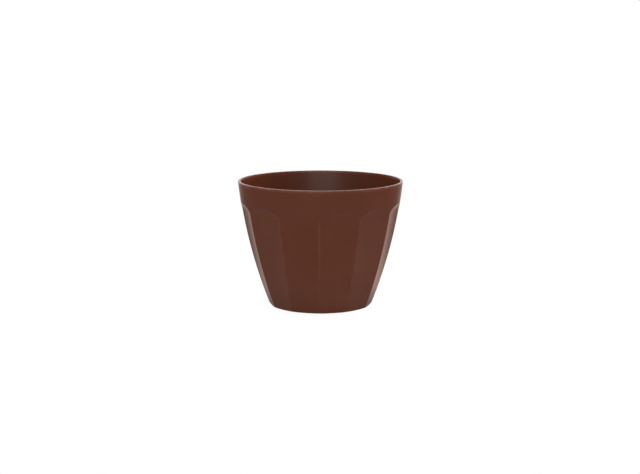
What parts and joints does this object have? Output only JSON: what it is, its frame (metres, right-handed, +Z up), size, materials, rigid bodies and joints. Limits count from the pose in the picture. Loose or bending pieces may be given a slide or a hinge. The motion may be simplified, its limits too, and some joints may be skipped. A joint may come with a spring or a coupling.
{
  "type": "cachepot",
  "caption": "Round moulded plastic cachepot: plain upright band under a thin rim, arched and slightly hollow facets on a curved tapering side, closed base on a foot ring.",
  "frame": {"origin": "middle of the resting plane under the foot ring", "axes": "+Z up along the pot's axis; -Y towards the front in the picture, where an edge between two facets faces; +X to the right in the picture"},
  "size_m": [0.14, 0.14, 0.1065],
  "materials": {
    "pot_plastic": "satin chocolate brown moulded plastic, smooth, with a soft sheen"
  },
  "bodies": {
    "root": {"pot": "pot_plastic"}
  },
  "joints": []
}
